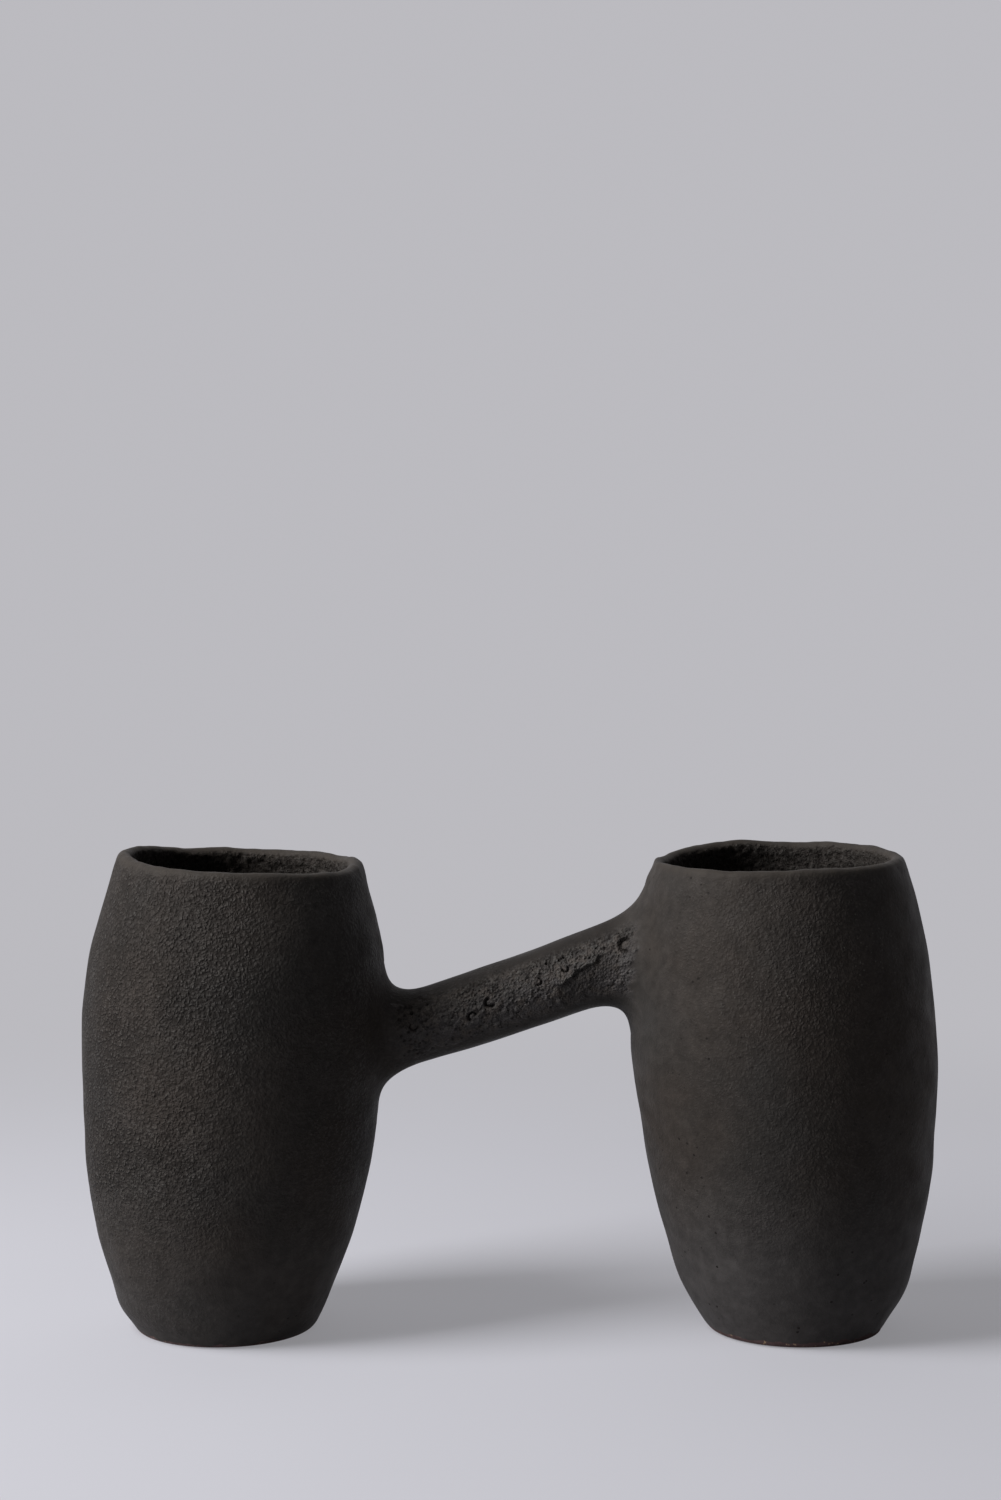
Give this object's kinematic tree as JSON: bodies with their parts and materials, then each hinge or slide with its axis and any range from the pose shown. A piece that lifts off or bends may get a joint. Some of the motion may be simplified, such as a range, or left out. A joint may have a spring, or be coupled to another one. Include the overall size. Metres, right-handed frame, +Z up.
{
  "type": "double clay jar",
  "caption": "Hand-built pair of open barrel-shaped clay jars that lean together, joined by a slanting hollow bridge luted into both walls.",
  "frame": {"origin": "on the surface that the jars stand on, midway between the two feet", "axes": "+X from the left jar to the right one as seen from the front, +Z up, -Y towards the viewer"},
  "size_m": [0.3632, 0.1294, 0.205],
  "materials": {
    "dark_glaze": "matt warm brown-black glaze with a leathery bumpy skin",
    "crusted_glaze": "thick pitted brown-black crust of glaze",
    "bare_clay": "unglazed red-brown clay, dry and fine-grained"
  },
  "bodies": {
    "root": {"left_base": "bare_clay", "left_wall": "dark_glaze", "left_rim": "dark_glaze", "right_base": "bare_clay", "right_wall": "dark_glaze", "right_rim": "dark_glaze", "bridge_tube": "crusted_glaze", "left_luting_coil": "dark_glaze", "right_luting_coil": "dark_glaze"}
  },
  "joints": []
}
